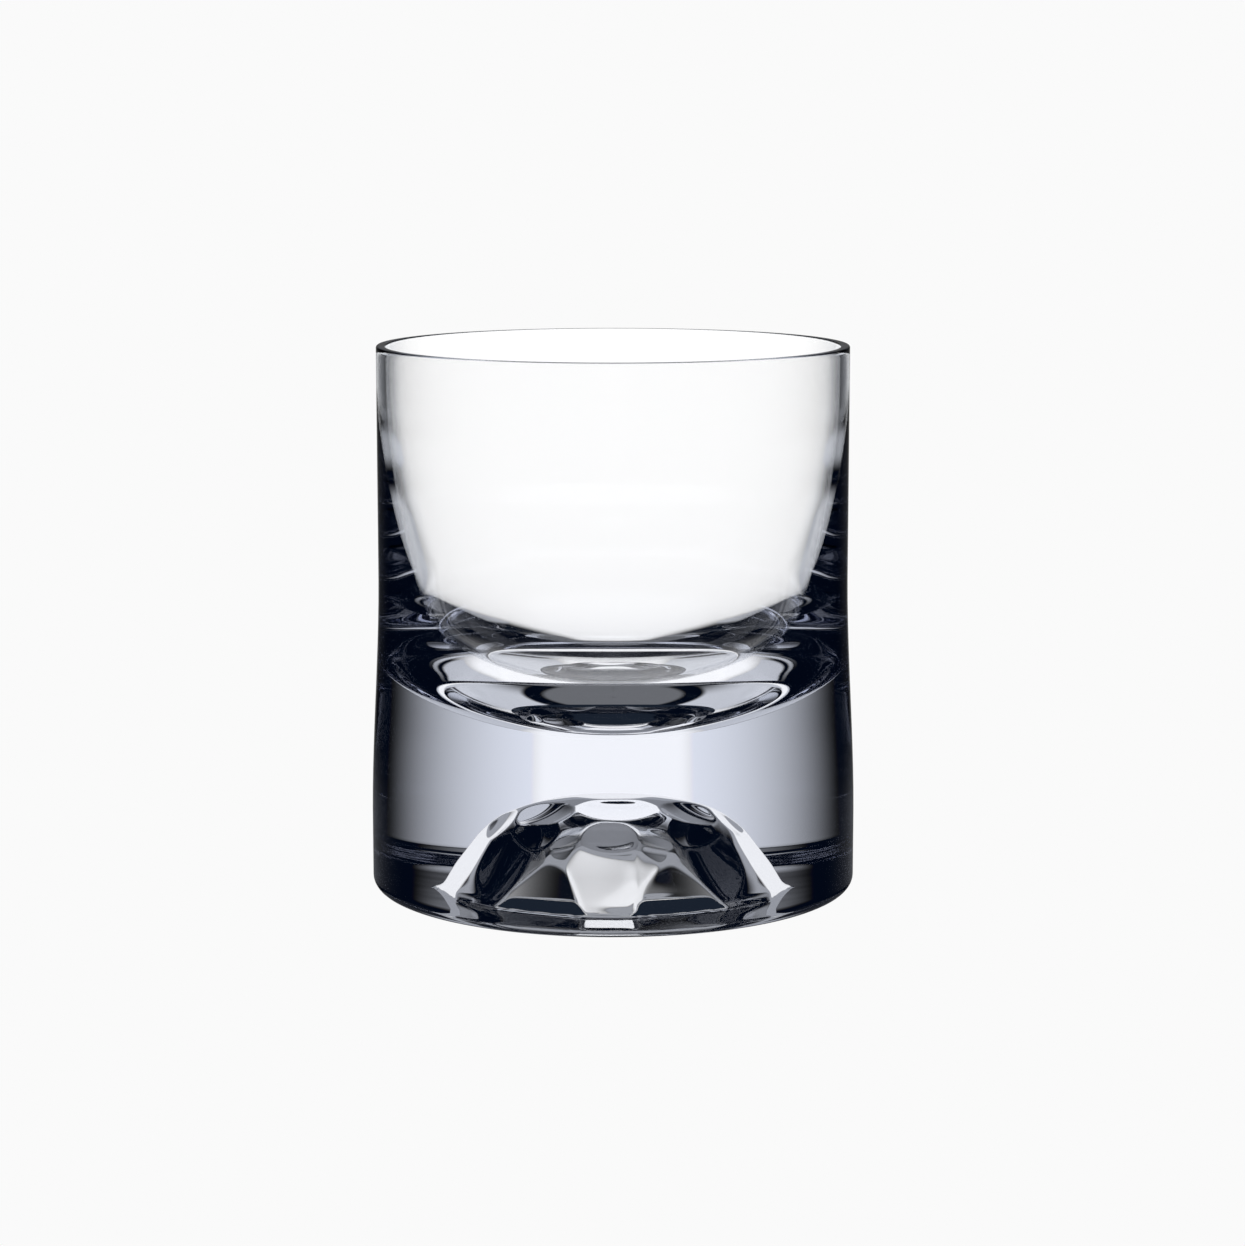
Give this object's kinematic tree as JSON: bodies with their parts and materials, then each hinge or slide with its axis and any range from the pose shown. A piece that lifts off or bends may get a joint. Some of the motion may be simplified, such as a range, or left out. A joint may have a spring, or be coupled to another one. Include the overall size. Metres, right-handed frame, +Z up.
{
  "type": "whiskey tumbler",
  "caption": "Clear pressed-glass whiskey tumbler with a heavy base and a faceted dome in its underside.",
  "frame": {"origin": "middle of the foot, on the plane the tumbler stands on", "axes": "+Z up along the axis of the glass; the dome's middle front facet faces -Y to within 4 degrees"},
  "size_m": [0.087, 0.087, 0.0975],
  "materials": {
    "clear_glass": "clear polished crystal glass"
  },
  "bodies": {
    "root": {"glass_body": "clear_glass"}
  },
  "joints": []
}
